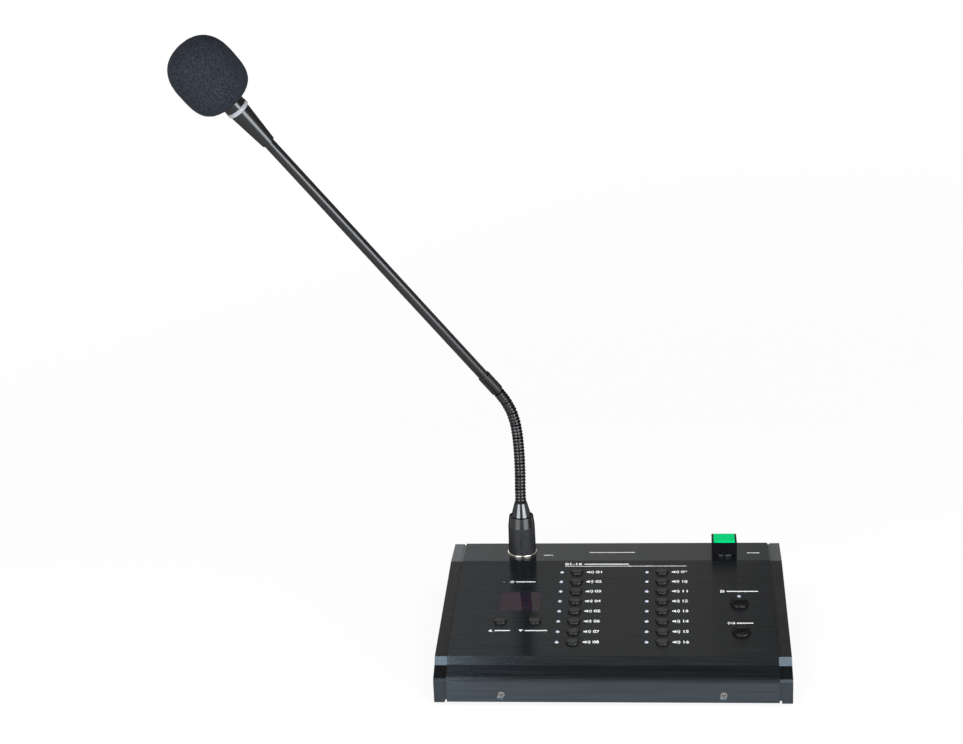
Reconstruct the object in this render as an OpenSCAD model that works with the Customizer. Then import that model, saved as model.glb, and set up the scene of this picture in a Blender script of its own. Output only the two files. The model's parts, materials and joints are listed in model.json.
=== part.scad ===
// Paging microphone: a wedge-shaped desk console with numbered zone keys, a talk key
// and a gooseneck microphone that stands in a round socket at the rear left.
// The origin is on the table under the middle of the console, X to the right, Y to the rear.

/* [Console] */
// Width over both end caps
console_w = 234; // [230:1:260]
// Thickness of one end cap
cap_t = 8.5; // [7:0.5:10]
// Thickness of the aluminium cover
wall = 2; // [1.6:0.1:2.4]
// Height of the front face
front_h = 15.3; // [14.5:0.1:20]
// Slope of the key panel in degrees
panel_slope = 9.4; // [7:0.2:12]
// Depth of the level strip behind the key panel
strip_d = 32.4; // [29:0.1:45]
// Height of the console above the table
foot_h = 3; // [2:0.5:6]
// Thickness of the steel chassis
steel_t = 1.5; // [1:0.1:2]

/* [Keys] */
// Distance between two rows of zone keys
row_pitch = 12.15; // [11.8:0.05:14]
// Diameter of a zone key or page key
key_d = 8.8; // [7:0.1:9.8]
// Diameter of the two large keys
big_key_d = 12.2; // [10:0.1:14]
// Travel of every round key
key_travel = 0.8; // [0.4:0.1:1.2]
// Side of the square talk key
talk_w = 17.6; // [16.5:0.1:20]
// Travel of the talk key
talk_travel = 2.2; // [1:0.1:3]
// Width of the display window
window_w = 28.8; // [24:0.2:30]
// Length of the display window up the panel
window_l = 23.2; // [18:0.2:24]

/* [Microphone] */
// Diameter of the plug at its foot
plug_d = 19.5; // [18.6:0.1:20.5]
// Height of the plug's straight barrel
barrel_h = 19.5; // [15:0.1:30]
// Diameter over the ribs of the neck
neck_d = 7.6; // [6.8:0.1:8]
// Distance between two ribs of the neck
rib_pitch = 2.43; // [2.3:0.01:2.8]
// Diameter of the straight tube
tube_d = 7.3; // [6.4:0.1:7.6]
// Length of the straight tube that shows
tube_l = 230.5; // [120:0.5:300]
// Direction that the neck leans to, in degrees from the right side
neck_turn = 210; // [150:1:240]
// Diameter of the foam windscreen
foam_d = 43.4; // [36:0.2:60]
// Length of the foam windscreen
foam_l = 47.2; // [44:0.2:70]

/* [Hidden] */
$fn = 64;

// Clearances beside a moving piece, below it at the end of its travel, and round a fitted piece
run_gap = 0.2;
end_gap = 0.4;
fit_gap = 0.1;
// How far a cut runs past the face that it opens
cut_past = 1;

// Cross-section of the console, from the front face over the top to the rear
chamfer_run = 1;
chamfer_rise = 1.9;
apron_run = 10.8;
apron_rise = 6.7;
bevel_run = 14.9;
bevel_rise = 11.3;
front_margin = 16;
rear_margin = 15;
rows = 8;
panel_l = front_margin + (rows - 1) * row_pitch + rear_margin;
panel_run = panel_l * cos(panel_slope);
panel_rise = panel_l * sin(panel_slope);
strip_y = bevel_run + panel_run;
strip_z = front_h + bevel_rise + panel_rise;
console_d = strip_y + strip_d;
front_y = -console_d / 2;
top_z = foot_h + strip_z;
apron_grade = (apron_rise - chamfer_rise) / (apron_run - chamfer_run);
brow_z = front_h + chamfer_rise - chamfer_run * apron_grade;

// Cover: edge gap above the caps' underside, corner radii, the rear lip, how far the caps lie
// below its face, and the groove between cap and cover
shell_w = console_w - 2 * cap_t;
shell_lift = 0.6;
brow_r = 5;
rear_r = 0.6;
lip_h = 13;
lip_overlap = 5.4;
cap_sunk = 0.4;
seam_t = 1.5;
seam_depth = 0.5;

// Screw channels drawn inside the cover, as places on the cross-section
channel_r = 2.4;
channel_in = 2.2;
front_channel = [wall + channel_in, 11];
rear_channel = [console_d - wall - channel_in, strip_z - wall - channel_in];

// Chassis: floor, flanges and rear wall
floor_lift = 0.8;
floor_z = floor_lift + steel_t;
front_flange_top = 7.6;
side_flange_h = 12;
side_flange_margin = 14;
rear_wall_top = strip_z - lip_h + lip_overlap;
rear_face_y = console_d - wall;
flange_end_gap = 6;

// Screws
case_screw_d = 2.4;
case_head_d = 4.6;
case_sunk = 0.8;
case_screw_l = 6;
case_screw_margin = 36;
case_screw_x = shell_w / 2 - case_screw_margin;
front_screw_z = 5.5;
rear_screw_z = strip_z - lip_h + lip_overlap / 2;
cap_screw_d = 2.2;
cap_head_d = 4.6;
cap_screw_tip = 5;
cross_w = 0.7;
cross_l = 2.7;
cross_depth = 0.9;
side_screw = [90, 7.4];

// Feet
foot_d = 14;
foot_taper = 2;
foot_margin = 22;

// Keys, their switches and the circuit board
left_column_margin = 82.1;
right_column_margin = 75.4;
columns = [left_column_margin - shell_w / 2, shell_w / 2 - right_column_margin];
led_step = 10.5;
led_d = 3;
led_rise = 0.7;
led_flange_d = 3.8;
led_flange_h = 1;
key_rise = 1.9;
big_key_rise = 2.9;
key_edge_r = 1;
key_crown_r = 10;
big_key_edge_r = 1.4;
big_key_crown_r = 12;
flange_t = 1;
flange_w = 0.8;
stem_d = 3;
stem_in = 0.9;
switch_w = 6;
switch_h = 3.6;
board_drop = 8;
board_t = 1.6;
board_side = 9;
board_front = 2.5;
board_rear = 4;
board_top = -wall - board_drop;
board_w = shell_w - 2 * board_side;
board_l = panel_l - board_front - board_rear;
post_d = 5.5;
post_bore_d = 2.5;
post_inset = 5;
front_post_inset = 4;
middle_post_x = -1;
board_screw_d = 2.3;
board_screw_l = 5.5;
board_hole_d = 2.8;
board_head_d = 4.5;
board_head_h = 1.6;
block_margin = 43.9;
block_x = block_margin - shell_w / 2;
page_pitch = 23.4;
power_led_step = 12.4;
power_led_x = block_x - power_led_step;
big_key_margin = 23.1;
big_key_x = shell_w / 2 - big_key_margin;
group_key_row = 3.73;
all_call_key_row = 0.94;
group_led_step = 9.3;
window_r = 1;
window_lip = 1.4;
window_lip_t = 1;
window_sink = 0.2;
display_inset = 1.6;
display_gap = 0.4;

// Talk key
talk_margin = 31.3;
talk_x = shell_w / 2 - talk_margin;
strip_mid_y = strip_y + strip_d / 2;
talk_forward = 1.1;
talk_y = strip_mid_y - talk_forward;
talk_h = 10.3;
talk_frame_t = 1.2;
talk_collar_h = 1.6;
talk_corner_r = 1;
talk_proud = 0.7;
talk_lens_h = 3.6;
talk_bush_d = 12.4;
talk_bush_l = 10;
talk_plunger_d = 7;
talk_plunger_in = 1.5;
talk_nut_d = 17;
talk_nut_h = 3;
talk_switch_w = 15;
talk_switch_h = 14;

// Rear sockets
socket_x = [-6, 14];
socket_w = 16;
socket_h = 13.4;
socket_l = 15;
port_w = 11.9;
port_h = 8;
port_l = 12;
port_lift = 2;
latch_w = 6;
latch_h = 1.8;
jack_x = 52;
jack_z = 15;
jack_d = 8;
jack_flange_d = 11;
jack_flange_t = 1.6;
jack_l = 13;
jack_bore_d = 6.2;
jack_bore_l = 10;
jack_pin_d = 2;
jack_pin_sunk = 1;

// Microphone socket and plug
mic_margin = 41.7;
mic_x = mic_margin - shell_w / 2;
mic_forward = 0.4;
mic_y = strip_mid_y - mic_forward;
ring_wall = 0.7;
ring_h = 1.4;
nose_d = 15.8;
nose_l = 15;
nose_hole_d = nose_d + 2 * fit_gap;
socket_wall = 2;
socket_depth = 18;
barrel_taper = 0.5;
gland_h = 7.6;
gland_top_d = 17.2;
shoulder_h = 0.3;
ferrule_d = 14;
ferrule_h = 9.6;
ferrule_top_d = 9;
ferrule_tip_h = 1.5;
gland_z = top_z + ring_h + barrel_h;
ferrule_z = gland_z + gland_h + shoulder_h;
neck_z = ferrule_z + ferrule_h + ferrule_tip_h;

// Neck: ribbed links that turn on ball seats, and the angle that each joint is bent to
links = 9;
link_ribs = 4;
link_l = link_ribs * rib_pitch;
crest_w = 1.03;
rib_depth = 0.6;
groove_w = rib_pitch - crest_w;
groove_floor_w = 0.5;
ball_d = 5;
ball_gap = 0.12;
neck_bore_d = 3;
neck_bend = [-2, 1.8, 2, 1.8, 4, 8.2, 10.3, 8.5, 3.9];

// Head: sleeve, tube, collar, ring, capsule and windscreen along one axis
sleeve_d = 8.8;
sleeve_l = 17.5;
sleeve_edge = 0.6;
tube_in = 9;
tube_wall = 0.8;
collar_z = sleeve_l + tube_l;
collar_l = 28.4;
collar_d = 13.7;
collar_step = 1.8;
light_ring_z = collar_z + collar_l;
light_ring_t = 3;
light_ring_d = 15.4;
capsule_z = light_ring_z + light_ring_t;
capsule_d = 14.6;
capsule_l = 24;
capsule_wall = 1.5;
capsule_room_l = 10.5;
capsule_spigot_d = 9;
grille_slots = 12;
grille_slot_w = 1;
grille_slot_l = 8;
grille_margin = 2;
foam_lift = 5.4;
foam_z = capsule_z + foam_lift;
foam_foot_power = 2.8;
foam_tip_power = 2.5;
foam_steps = 28;
foam_gap = 0.2;

// Right-hand normal of a direction in the plane
function right_of(d) = [d[1], -d[0]] / norm(d);

// Outline moved inwards by t, for points that run clockwise
function inset(points, t) = [
    for (i = [0 : len(points) - 1])
        let (
            n = len(points),
            here = points[i],
            to_here = here - points[(i + n - 1) % n],
            onward = points[(i + 1) % n] - here,
            a = here + t * right_of(to_here),
            b = here + t * right_of(onward)
        )
        a + to_here * cross(b - a, onward) / cross(to_here, onward)
];

// Outline of the console's top from the brow to the rear edge
top_line = [
    [apron_run, front_h + apron_rise],
    [bevel_run, front_h + bevel_rise],
    [strip_y, strip_z],
    [console_d, strip_z]
];

// Outline of an end cap, t below the cover's face on every side but the underside
function cap_outline(t) = inset(concat(
    [[0, -t], [0, front_h], [chamfer_run, front_h + chamfer_rise]],
    top_line,
    [[console_d, -t]]
), t);

function shell_outline(low) = concat([[0, low], [0, brow_z]], top_line, [[console_d, low]]);

// Row of zone keys, counted from the rear, as a distance up the panel
function row_s(row) = front_margin + (rows - 1 - row) * row_pitch;
function zone_column(zone) = columns[zone <= rows ? 0 : 1];
function zone_s(zone) = row_s((zone - 1) % rows);
function page_x(side) = block_x + side * page_pitch / 2;
function big_key_s(row) = front_margin + row * row_pitch;

// Every round key as place across, place up the panel and diameter
key_places = concat(
    [for (zone = [1 : 2 * rows]) [zone_column(zone), zone_s(zone), key_d]],
    [for (side = [-1, 1]) [page_x(side), row_s(5), key_d]],
    [for (row = [group_key_row, all_call_key_row]) [big_key_x, big_key_s(row), big_key_d]]
);

led_places = concat(
    [for (zone = [1 : 2 * rows]) [zone_column(zone) - led_step, zone_s(zone)]],
    [[power_led_x, row_s(1)], [big_key_x, big_key_s(group_key_row) + group_led_step]]
);

post_places = [
    for (x = [-board_w / 2 + post_inset, middle_post_x, board_w / 2 - post_inset])
        for (s = [board_front + front_post_inset, panel_l - board_rear - post_inset])
            [x, s]
];

// Frame of the cross-section: X along the console, the drawing's x to the rear and y upwards
module across(length) {
    translate([-length / 2, front_y, foot_h])
        rotate([90, 0, 90])
            linear_extrude(length)
                children();
}

// Frame on the key panel: x across, s up the slope from its front edge, h above its face
module on_panel(x, s, h = 0) {
    translate([x, front_y + bevel_run, foot_h + front_h + bevel_rise])
        rotate([panel_slope, 0, 0])
            translate([0, s, h])
                children();
}

// Frame on the level strip
module on_strip(x, y, h = 0) {
    translate([x, front_y + y, top_z + h])
        children();
}

// Frame of a neck joint; joint 0 is the foot of the neck
module neck_at(joint) {
    if (joint == 0)
        on_strip(mic_x, mic_y, neck_z - top_z)
            rotate([0, 0, neck_turn])
                children();
    else
        neck_at(joint - 1)
            translate([0, 0, link_l])
                rotate([0, neck_bend[joint - 1], 0])
                    children();
}

// Frame along the head's straight axis
module head_at(h) {
    neck_at(links)
        translate([0, 0, h])
            children();
}

// Rectangle about the middle with round corners
module round_rect(w, l, r) {
    square([w - 2 * r, l], center = true);
    square([w, l - 2 * r], center = true);
    for (x = [-1, 1])
        for (y = [-1, 1])
            translate([x * (w / 2 - r), y * (l / 2 - r)])
                circle(r);
}

// Corner of a drawing between points a and b, rounded to radius r
module round_corner(a, corner, b, r) {
    u = (a - corner) / norm(a - corner);
    v = (b - corner) / norm(b - corner);
    half = acos(u * v) / 2;
    centre = corner + (u + v) / norm(u + v) * r / sin(half);
    difference() {
        children();
        difference() {
            polygon([corner, corner + u * r / tan(half), centre, corner + v * r / tan(half)]);
            translate(centre)
                circle(r);
        }
    }
}

// Cross-recess of a screw head, sunk from the plane of the frame
module cross_recess() {
    for (turn = [0, 90])
        rotate([0, 0, turn])
            translate([-cross_l / 2, -cross_w / 2, -cross_depth])
                cube([cross_l, cross_w, 2 * cross_depth]);
}

// Pan-head screw: head above the frame's plane, shank below it
module pan_screw(head_d, head_h, shank_d, shank_l) {
    difference() {
        union() {
            intersection() {
                cylinder(d = head_d, h = head_h);
                translate([0, 0, head_h - head_d])
                    sphere(head_d);
            }
            translate([0, 0, -shank_l])
                cylinder(d = shank_d, h = shank_l + head_h / 2);
        }
        translate([0, 0, head_h])
            cross_recess();
    }
}

// Countersunk screw: conical head below the frame's plane, then the shank
module flat_screw(head_d, shank_d, length) {
    difference() {
        union() {
            translate([0, 0, -head_d / 2])
                cylinder(d1 = 0, d2 = head_d, h = head_d / 2);
            translate([0, 0, -length])
                cylinder(d = shank_d, h = length - head_d / 4);
        }
        cross_recess();
    }
}

// Cut for a countersunk screw whose head lies a little below the frame's plane
module flat_hole(head_d, shank_d, sunk, depth) {
    cone_h = head_d / 2 + sunk + fit_gap;
    translate([0, 0, -depth])
        cylinder(d = shank_d + 2 * fit_gap, h = depth);
    translate([0, 0, fit_gap - cone_h])
        cylinder(d1 = 0, d2 = 2 * cone_h, h = cone_h);
}

// Where each case screw sits, with its head outwards
module at_case_screws() {
    for (x = [-case_screw_x, case_screw_x]) {
        translate([x, front_y, foot_h + front_screw_z])
            rotate([90, 0, 0])
                children();
        translate([x, front_y + console_d, foot_h + rear_screw_z])
            rotate([-90, 0, 0])
                children();
    }
}

// Where each end-cap screw sits on one side, with its head outwards
module at_cap_screws(side) {
    for (place = [front_channel, rear_channel, side_screw])
        translate([side * console_w / 2, front_y + place[0], foot_h + place[1]])
            rotate([0, side * 90, 0])
                children();
}

module top_shell() {
    outline = shell_outline(shell_lift);
    last = len(outline) - 1;
    channels = [front_channel, rear_channel];
    color([0.17, 0.17, 0.18])
        difference() {
            union() {
                across(shell_w)
                    difference() {
                        round_corner(outline[0], outline[1], outline[2], brow_r)
                            round_corner(outline[last - 2], outline[last - 1], outline[last], rear_r)
                                polygon(outline);
                        polygon(inset(shell_outline(-console_d), wall));
                        translate([console_d - 2 * lip_h, 0])
                            square([3 * lip_h, strip_z - lip_h]);
                    }
                for (place = channels)
                    across(shell_w)
                        translate(place)
                            circle(channel_r);
            }
            for (place = channels)
                across(2 * shell_w)
                    translate(place)
                        circle(d = cap_screw_d + fit_gap);
            for (key = key_places)
                on_panel(key[0], key[1], -2 * wall)
                    cylinder(d = key[2] + 2 * run_gap, h = 3 * wall);
            for (led = led_places)
                on_panel(led[0], led[1], -2 * wall)
                    cylinder(d = led_d + 2 * fit_gap, h = 3 * wall);
            on_panel(block_x, row_s(3), -2 * wall)
                linear_extrude(3 * wall)
                    round_rect(window_w + 2 * fit_gap, window_l + 2 * fit_gap, window_r);
            on_strip(mic_x, mic_y, -2 * wall)
                cylinder(d = nose_hole_d, h = 3 * wall);
            on_strip(talk_x, talk_y, -2 * wall)
                cylinder(d = talk_bush_d + 2 * fit_gap, h = 3 * wall);
            at_case_screws()
                flat_hole(case_head_d, case_screw_d, case_sunk, 2 * wall);
        }
}

// End plate with a narrow groove beside the cover, which is deeper at the rear and underneath
module end_cap(side) {
    color([0.24, 0.25, 0.27])
        difference() {
            translate([side * (console_w - cap_t) / 2, 0, 0])
                union() {
                    translate([side * seam_t / 2, 0, 0])
                        across(cap_t - seam_t)
                            polygon(cap_outline(cap_sunk));
                    across(cap_t)
                        intersection() {
                            polygon(cap_outline(seam_depth));
                            translate([0, wall])
                                square([console_d - wall, strip_z]);
                        }
                }
            at_cap_screws(side)
                flat_hole(cap_head_d, cap_screw_d, 0, 2 * cap_t);
        }
}

module left_end_cap() {
    end_cap(-1);
}

module right_end_cap() {
    end_cap(1);
}

// Folded steel tray: floor with a low front flange, side flanges and a rear wall
module chassis() {
    inner_d = rear_face_y - wall;
    flange_x = (shell_w - steel_t) / 2;
    color([0.3, 0.3, 0.31])
        difference() {
            translate([0, front_y, foot_h])
                union() {
                    translate([-shell_w / 2, wall, floor_lift])
                        cube([shell_w, inner_d, steel_t]);
                    translate([-shell_w / 2 + flange_end_gap, wall, floor_lift])
                        cube([shell_w - 2 * flange_end_gap, steel_t, front_flange_top - floor_lift]);
                    translate([-shell_w / 2, rear_face_y - steel_t, floor_lift])
                        cube([shell_w, steel_t, rear_wall_top - floor_lift]);
                    for (side = [-1, 1])
                        translate([side * flange_x - steel_t / 2, side_flange_margin, floor_lift])
                            cube([steel_t, inner_d - 2 * side_flange_margin, side_flange_h]);
                }
            at_case_screws()
                translate([0, 0, -4 * wall])
                    cylinder(d = case_screw_d + fit_gap, h = 5 * wall);
            for (side = [-1, 1])
                at_cap_screws(side)
                    translate([0, 0, -2 * cap_t])
                        cylinder(d = cap_screw_d + fit_gap, h = 2 * cap_t);
            for (x = socket_x)
                translate([x - socket_w / 2 - fit_gap, front_y + rear_face_y - 2 * steel_t, foot_h + floor_z])
                    cube([socket_w + 2 * fit_gap, 3 * steel_t, socket_h + fit_gap]);
            translate([jack_x, front_y + rear_face_y + steel_t, foot_h + jack_z])
                rotate([90, 0, 0])
                    cylinder(d = jack_d + 2 * fit_gap, h = 3 * steel_t);
        }
}

module rubber_feet() {
    foot_x = console_w / 2 - foot_margin;
    foot_y = console_d / 2 - foot_margin;
    color([0.06, 0.06, 0.06])
        for (place = [[0, 0], [-foot_x, -foot_y], [foot_x, -foot_y], [-foot_x, foot_y], [foot_x, foot_y]])
            translate(place)
                cylinder(d1 = foot_d - foot_taper, d2 = foot_d, h = foot_h + floor_lift);
}

module case_screws() {
    color([0.72, 0.73, 0.74])
        at_case_screws()
            translate([0, 0, -case_sunk])
                flat_screw(case_head_d, case_screw_d, case_screw_l);
}

module cap_screws() {
    color([0.2, 0.2, 0.21])
        for (side = [-1, 1])
            at_cap_screws(side)
                flat_screw(cap_head_d, cap_screw_d, cap_t + cap_screw_tip);
}

module main_board() {
    color([0.05, 0.22, 0.12])
        difference() {
            on_panel(-board_w / 2, board_front, board_top - board_t)
                cube([board_w, board_l, board_t]);
            for (post = post_places)
                on_panel(post[0], post[1], board_top - 2 * board_t)
                    cylinder(d = board_hole_d, h = 3 * board_t);
        }
}

module board_posts() {
    color([0.75, 0.75, 0.76])
        for (post = post_places)
            on_panel(post[0], post[1], board_top)
                difference() {
                    cylinder(d = post_d, h = board_drop);
                    translate([0, 0, -fit_gap])
                        cylinder(d = post_bore_d, h = board_screw_l + 2 * fit_gap);
                }
}

module board_screws() {
    color([0.72, 0.73, 0.74])
        for (post = post_places)
            on_panel(post[0], post[1], board_top - board_t)
                rotate([180, 0, 0])
                    pan_screw(board_head_d, board_head_h, board_screw_d, board_t + board_screw_l - fit_gap);
}

module key_switches() {
    color([0.1, 0.1, 0.1])
        for (key = key_places)
            on_panel(key[0], key[1], board_top)
                difference() {
                    translate([-switch_w / 2, -switch_w / 2, 0])
                        cube([switch_w, switch_w, switch_h]);
                    translate([0, 0, switch_h - stem_in - key_travel - end_gap])
                        cylinder(d = stem_d + 2 * run_gap, h = switch_h);
                }
}

module panel_leds() {
    color([0.9, 0.92, 0.95])
        for (led = led_places)
            on_panel(led[0], led[1], board_top) {
                cylinder(d = led_flange_d, h = led_flange_h);
                cylinder(d = led_d, h = board_drop + wall + led_rise - led_d / 2);
                translate([0, 0, board_drop + wall + led_rise - led_d / 2])
                    sphere(d = led_d);
            }
}

module digit_display() {
    color([0.12, 0.1, 0.11])
        on_panel(block_x, row_s(3), board_top)
            linear_extrude(board_drop - window_lip_t - display_gap)
                square([window_w - 2 * display_inset, window_l - 2 * display_inset], center = true);
}

module display_window() {
    color([0.2, 0.07, 0.1])
        on_panel(block_x, row_s(3), -wall) {
            linear_extrude(wall - window_sink)
                round_rect(window_w, window_l, window_r);
            translate([0, 0, -window_lip_t])
                linear_extrude(window_lip_t)
                    round_rect(window_w + 2 * window_lip, window_l + 2 * window_lip, window_r);
        }
}

// Half outline of a round key above the cover's underside: straight side, round edge and crown
module key_outline(d, rise, edge_r, crown_r) {
    crown_centre = [0, wall + rise - crown_r];
    edge_x = d / 2 - edge_r;
    edge_reach = crown_r - edge_r;
    edge_centre = crown_centre + [edge_x, sqrt(edge_reach * edge_reach - edge_x * edge_x)];
    outwards = (edge_centre - crown_centre) / edge_reach;
    square([d / 2, edge_centre[1]]);
    translate(edge_centre)
        circle(edge_r);
    intersection() {
        translate(crown_centre)
            circle(crown_r);
        polygon([
            [0, edge_centre[1]],
            edge_centre,
            edge_centre + 2 * edge_r * outwards,
            crown_centre + [0, crown_r + edge_r]
        ]);
    }
}

// Round key: crowned cap through the panel, retaining flange and stem to its switch
module round_key(x, s, d, rise, edge_r, crown_r) {
    stem_l = board_drop - flange_t - switch_h + stem_in;
    color([0.16, 0.16, 0.17])
        on_panel(x, s, -wall) {
            rotate_extrude()
                key_outline(d, rise, edge_r, crown_r);
            translate([0, 0, -flange_t])
                cylinder(d = d + 2 * flange_w, h = flange_t);
            translate([0, 0, -flange_t - stem_l])
                cylinder(d = stem_d, h = stem_l);
        }
}

module zone_key(zone) {
    round_key(zone_column(zone), zone_s(zone), key_d, key_rise, key_edge_r, key_crown_r);
}

module page_up_key() {
    round_key(page_x(-1), row_s(5), key_d, key_rise, key_edge_r, key_crown_r);
}

module page_down_key() {
    round_key(page_x(1), row_s(5), key_d, key_rise, key_edge_r, key_crown_r);
}

module big_key(row) {
    round_key(big_key_x, big_key_s(row), big_key_d, big_key_rise, big_key_edge_r, big_key_crown_r);
}

module group_key() {
    big_key(group_key_row);
}

module all_call_key() {
    big_key(all_call_key_row);
}

// Low round washer under the talk key, with a rounded upper edge
module talk_collar() {
    outer_r = talk_w / 2;
    color([0.1, 0.1, 0.11])
        on_strip(talk_x, talk_y)
            rotate_extrude()
                difference() {
                    union() {
                        square([outer_r, talk_collar_h / 2]);
                        square([outer_r - talk_collar_h / 2, talk_collar_h]);
                        translate([outer_r - talk_collar_h / 2, talk_collar_h / 2])
                            circle(talk_collar_h / 2);
                    }
                    square([talk_bush_d / 2 + fit_gap, 3 * talk_collar_h]);
                }
}

// Square frame round the talk lens, with the bush that holds it in the strip
module talk_bezel() {
    well_w = talk_w - 2 * talk_frame_t;
    well_floor = talk_h + talk_proud - talk_lens_h - talk_travel - end_gap;
    color([0.07, 0.07, 0.08])
        on_strip(talk_x, talk_y)
            difference() {
                union() {
                    translate([0, 0, talk_collar_h])
                        linear_extrude(talk_h - talk_collar_h)
                            round_rect(talk_w, talk_w, talk_corner_r);
                    translate([0, 0, -talk_bush_l])
                        cylinder(d = talk_bush_d, h = talk_bush_l + talk_collar_h);
                }
                translate([0, 0, well_floor])
                    linear_extrude(talk_h)
                        round_rect(well_w, well_w, talk_corner_r);
                translate([0, 0, -2 * talk_bush_l])
                    cylinder(d = talk_plunger_d + 2 * run_gap, h = 4 * talk_bush_l);
            }
}

// Green lens with its plunger
module talk_lens() {
    lens_w = talk_w - 2 * talk_frame_t - 2 * run_gap;
    lens_top = talk_h + talk_proud;
    plunger_foot = -talk_bush_l - talk_plunger_in;
    color([0, 0.8, 0.46])
        on_strip(talk_x, talk_y) {
            translate([0, 0, lens_top - talk_lens_h])
                linear_extrude(talk_lens_h)
                    round_rect(lens_w, lens_w, talk_corner_r);
            translate([0, 0, plunger_foot])
                cylinder(d = talk_plunger_d, h = lens_top - talk_lens_h - plunger_foot);
        }
}

// Switch under the strip: the nut round the bush and the contact block below it
module talk_switch() {
    color([0.12, 0.12, 0.13])
        on_strip(talk_x, talk_y)
            difference() {
                union() {
                    translate([0, 0, -wall - talk_nut_h])
                        cylinder(d = talk_nut_d, h = talk_nut_h);
                    translate([-talk_switch_w / 2, -talk_switch_w / 2, -talk_bush_l - talk_switch_h])
                        cube([talk_switch_w, talk_switch_w, talk_switch_h + talk_bush_l - wall - talk_nut_h]);
                }
                translate([0, 0, -talk_bush_l])
                    cylinder(d = talk_bush_d + 2 * fit_gap, h = talk_bush_l);
                translate([0, 0, -talk_bush_l - talk_plunger_in - talk_travel - end_gap])
                    cylinder(d = talk_plunger_d + 2 * run_gap, h = 2 * talk_bush_l);
            }
}

// Two modular sockets side by side, each with its port and latch slot open to the rear
module link_sockets() {
    color([0.08, 0.08, 0.08])
        for (x = socket_x)
            translate([x, front_y + rear_face_y, foot_h + floor_z])
                difference() {
                    translate([-socket_w / 2, -socket_l, 0])
                        cube([socket_w, socket_l, socket_h]);
                    translate([-port_w / 2, -port_l, port_lift + latch_h])
                        cube([port_w, 2 * port_l, port_h]);
                    translate([-latch_w / 2, -port_l, port_lift])
                        cube([latch_w, 2 * port_l, port_h]);
                }
}

// Low-voltage inlet: flange outside the rear wall, barrel through it and centre pin
module power_jack() {
    color([0.08, 0.08, 0.08])
        translate([jack_x, front_y + rear_face_y, foot_h + jack_z])
            rotate([-90, 0, 0]) {
                difference() {
                    union() {
                        cylinder(d = jack_flange_d, h = jack_flange_t);
                        translate([0, 0, -jack_l])
                            cylinder(d = jack_d, h = jack_l + jack_flange_t);
                        translate([0, 0, -jack_l])
                            cylinder(d = jack_flange_d, h = jack_l - steel_t);
                    }
                    translate([0, 0, jack_flange_t - jack_bore_l])
                        cylinder(d = jack_bore_d, h = jack_bore_l + cut_past);
                }
                translate([0, 0, jack_flange_t - jack_bore_l])
                    cylinder(d = jack_pin_d, h = jack_bore_l - jack_pin_sunk);
            }
}

// Bright ring round the foot of the plug
module socket_ring() {
    color([0.8, 0.8, 0.8])
        on_strip(mic_x, mic_y)
            rotate_extrude()
                difference() {
                    union() {
                        square([plug_d / 2 + ring_wall, ring_h / 2]);
                        square([plug_d / 2 + ring_wall - ring_h / 2, ring_h]);
                        translate([plug_d / 2 + ring_wall - ring_h / 2, ring_h / 2])
                            circle(ring_h / 2);
                    }
                    square([nose_hole_d / 2, 3 * ring_h]);
                }
}

// Cup under the strip that takes the plug's nose
module socket_body() {
    color([0.2, 0.2, 0.21])
        on_strip(mic_x, mic_y, -wall - socket_depth)
            difference() {
                cylinder(d = nose_hole_d + 2 * socket_wall, h = socket_depth);
                translate([0, 0, socket_wall])
                    cylinder(d = nose_hole_d, h = socket_depth);
            }
}

// Plug: satin barrel on the ring, with its nose in the socket
module plug_barrel() {
    color([0.12, 0.12, 0.13])
        on_strip(mic_x, mic_y, ring_h) {
            cylinder(d1 = plug_d, d2 = plug_d - barrel_taper, h = barrel_h);
            translate([0, 0, -ring_h - nose_l])
                cylinder(d = nose_d, h = nose_l + ring_h);
        }
}

// Glossy upper part of the plug, with a sloped shoulder
module plug_collar() {
    foot_r = (plug_d - barrel_taper) / 2;
    color([0.1, 0.1, 0.11])
        on_strip(mic_x, mic_y, gland_z - top_z)
            rotate_extrude()
                polygon([
                    [0, 0],
                    [foot_r, 0],
                    [gland_top_d / 2, gland_h],
                    [ferrule_d / 2, gland_h + shoulder_h],
                    [0, gland_h + shoulder_h]
                ]);
}

// Cone that grips the foot of the neck
module neck_ferrule() {
    color([0.1, 0.1, 0.11])
        on_strip(mic_x, mic_y, ferrule_z - top_z)
            rotate_extrude()
                polygon([
                    [0, 0],
                    [ferrule_d / 2, 0],
                    [ferrule_top_d / 2, ferrule_h],
                    [neck_d / 2, ferrule_h + ferrule_tip_h],
                    [0, ferrule_h + ferrule_tip_h]
                ]);
}

// Ribbed outline of one link. Its ends are cones to the pivots, so that links can lean both ways,
// but the first link stands flat on the ferrule.
function link_outline(flat_foot) = concat(
    flat_foot ? [[0, 0], [neck_d / 2 - rib_depth, 0]] : [[0, 0]],
    [
        for (rib = [0 : link_ribs - 1])
            let (low = rib * rib_pitch + groove_w / 2, flank = (groove_w - groove_floor_w) / 2)
            each concat(
                rib == 0 ? [] : [[neck_d / 2 - rib_depth, low - flank]],
                [[neck_d / 2, low], [neck_d / 2, low + crest_w]],
                rib == link_ribs - 1 ? [] : [[neck_d / 2 - rib_depth, low + crest_w + flank]]
            )
    ],
    [[0, link_l]]
);

// One link of the neck: ball on top, seat for the ball of the link below, bore for the wires
module neck_link(number) {
    color([0.13, 0.13, 0.14])
        neck_at(number - 1)
            rotate_extrude()
                difference() {
                    union() {
                        polygon(link_outline(number == 1));
                        translate([0, link_l])
                            circle(d = ball_d);
                    }
                    if (number > 1)
                        circle(d = ball_d + 2 * ball_gap);
                    translate([-link_l, -link_l])
                        square([link_l + neck_bore_d / 2, 3 * link_l]);
                }
}

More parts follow.
